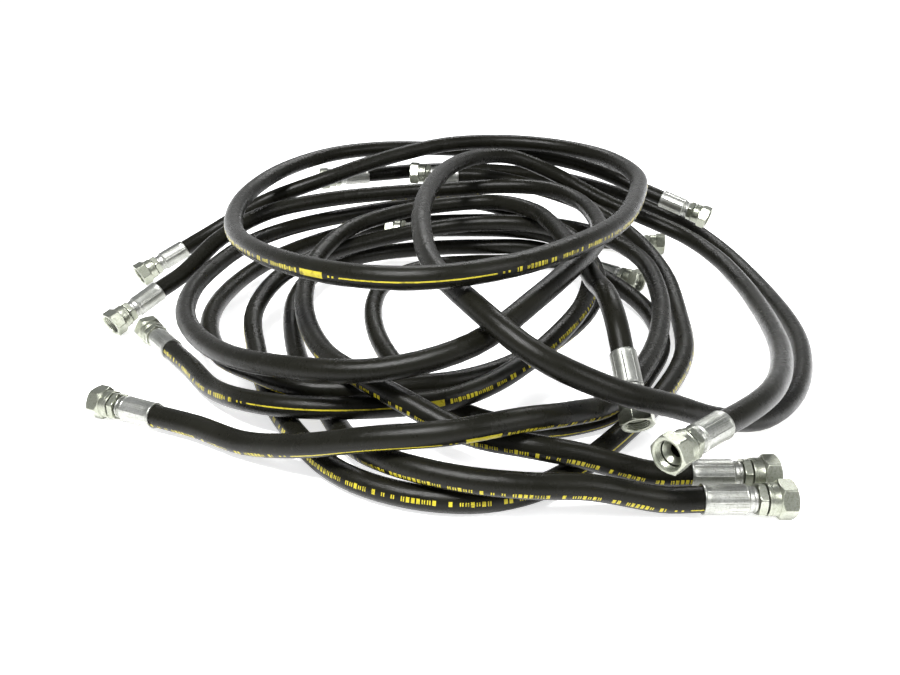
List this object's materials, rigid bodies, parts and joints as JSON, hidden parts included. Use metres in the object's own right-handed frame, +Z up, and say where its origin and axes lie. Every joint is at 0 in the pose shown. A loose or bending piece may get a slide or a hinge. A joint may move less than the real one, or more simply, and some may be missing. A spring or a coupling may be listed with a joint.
{
  "type": "hydraulic hose assembly set",
  "caption": "Loose heap of coiled two-wire hydraulic hoses, each ending in crimped ferrules and hexagonal female swivel nuts.",
  "frame": {"origin": "On the floor that the heap lies on, under the middle of the box round all the fittings, close to the middle of the heap", "axes": "+Z up; +X along the longer side of the heap; +Y across it, away from the side where two hoses lie side by side with their nuts along +X"},
  "size_m": [0.9638, 0.8843, 0.192],
  "materials": {
    "hose_rubber": "black wrapped-cloth texture, satin",
    "plated_ferrule": "zinc plated, satin",
    "plated_nipple": "zinc plated with a faint yellow-green tint",
    "plated_nut": "zinc plated with a faint yellow-green tint"
  },
  "bodies": {
    "root": {"hose_1": "hose_rubber", "hose_2": "hose_rubber", "hose_3": "hose_rubber", "hose_4": "hose_rubber", "hose_5": "hose_rubber", "hose_6": "hose_rubber", "hose_7": "hose_rubber", "hose_ends_1": "hose_rubber", "hose_ends_2": "hose_rubber", "hose_ends_3": "hose_rubber", "hose_ends_4": "hose_rubber", "hose_ends_5": "hose_rubber", "hose_ends_6": "hose_rubber", "hose_ends_7": "hose_rubber", "ferrule_1a": "plated_ferrule", "nipple_1a": "plated_nipple", "ferrule_1b": "plated_ferrule", "nipple_1b": "plated_nipple", "ferrule_2a": "plated_ferrule", "nipple_2a": "plated_nipple", "ferrule_2b": "plated_ferrule", "nipple_2b": "plated_nipple", "ferrule_3a": "plated_ferrule", "nipple_3a": "plated_nipple", "ferrule_3b": "plated_ferrule", "nipple_3b": "plated_nipple", "ferrule_4a": "plated_ferrule", "nipple_4a": "plated_nipple", "ferrule_4b": "plated_ferrule", "nipple_4b": "plated_nipple", "ferrule_5a": "plated_ferrule", "nipple_5a": "plated_nipple", "ferrule_5b": "plated_ferrule", "nipple_5b": "plated_nipple", "ferrule_6a": "plated_ferrule", "nipple_6a": "plated_nipple", "ferrule_6b": "plated_ferrule", "nipple_6b": "plated_nipple", "ferrule_7a": "plated_ferrule", "nipple_7a": "plated_nipple", "ferrule_7b": "plated_ferrule", "nipple_7b": "plated_nipple"},
    "nut_1a": {"nut_1a": "plated_nut"},
    "nut_1b": {"nut_1b": "plated_nut"},
    "nut_2a": {"nut_2a": "plated_nut"},
    "nut_2b": {"nut_2b": "plated_nut"},
    "nut_3a": {"nut_3a": "plated_nut"},
    "nut_3b": {"nut_3b": "plated_nut"},
    "nut_4a": {"nut_4a": "plated_nut"},
    "nut_4b": {"nut_4b": "plated_nut"},
    "nut_5a": {"nut_5a": "plated_nut"},
    "nut_5b": {"nut_5b": "plated_nut"},
    "nut_6a": {"nut_6a": "plated_nut"},
    "nut_6b": {"nut_6b": "plated_nut"},
    "nut_7a": {"nut_7a": "plated_nut"},
    "nut_7b": {"nut_7b": "plated_nut"}
  },
  "joints": [
    {"name": "nut_1a_turn", "type": "hinge", "parent": "root", "child": "nut_1a", "pos_m": [0.43097, 0.30243, 0.08368], "axis": [0.8301, -0.4842, -0.2767], "continuous": true},
    {"name": "nut_1b_turn", "type": "hinge", "parent": "root", "child": "nut_1b", "pos_m": [-0.43023, 0.20663, 0.02314], "axis": [-0.7158, -0.6164, -0.3281], "continuous": true},
    {"name": "nut_2a_turn", "type": "hinge", "parent": "root", "child": "nut_2a", "pos_m": [0.2311, -0.38424, 0.07666], "axis": [-0.7609, -0.6482, 0.0282], "continuous": true},
    {"name": "nut_2b_turn", "type": "hinge", "parent": "root", "child": "nut_2b", "pos_m": [-0.16522, 0.3837, 0.12157], "axis": [-0.9699, -0.2425, -0.0242], "continuous": true},
    {"name": "nut_3a_turn", "type": "hinge", "parent": "root", "child": "nut_3a", "pos_m": [-0.40498, 0.0221, 0.0229], "axis": [-0.576, -0.7611, -0.2983], "continuous": true},
    {"name": "nut_3b_turn", "type": "hinge", "parent": "root", "child": "nut_3b", "pos_m": [0.37548, 0.3482, 0.016], "axis": [0.9912, -0.1322, 0], "continuous": true},
    {"name": "nut_4a_turn", "type": "hinge", "parent": "root", "child": "nut_4a", "pos_m": [0.316, -0.376, 0.016], "axis": [1, 0, 0], "continuous": true},
    {"name": "nut_4b_turn", "type": "hinge", "parent": "root", "child": "nut_4b", "pos_m": [0.30242, 0.17999, 0.016], "axis": [0.719, -0.695, 0], "continuous": true},
    {"name": "nut_5a_turn", "type": "hinge", "parent": "root", "child": "nut_5a", "pos_m": [0.316, -0.336, 0.016], "axis": [1, 0, 0], "continuous": true},
    {"name": "nut_5b_turn", "type": "hinge", "parent": "root", "child": "nut_5b", "pos_m": [0.2143, -0.27274, 0.05403], "axis": [0.0729, -0.8261, -0.5588], "continuous": true},
    {"name": "nut_6a_turn", "type": "hinge", "parent": "root", "child": "nut_6a", "pos_m": [-0.334, -0.20624, 0.016], "axis": [-0.9153, 0.4027, 0], "continuous": true},
    {"name": "nut_6b_turn", "type": "hinge", "parent": "root", "child": "nut_6b", "pos_m": [-0.05195, 0.31814, 0.04993], "axis": [-0.9992, 0.0363, -0.0182], "continuous": true},
    {"name": "nut_7a_turn", "type": "hinge", "parent": "root", "child": "nut_7a", "pos_m": [-0.35135, -0.02234, 0.01604], "axis": [-0.6331, 0.7738, 0.0176], "continuous": true},
    {"name": "nut_7b_turn", "type": "hinge", "parent": "root", "child": "nut_7b", "pos_m": [-0.01188, 0.38062, 0.12962], "axis": [-0.998, 0.0444, 0.0444], "continuous": true}
  ]
}
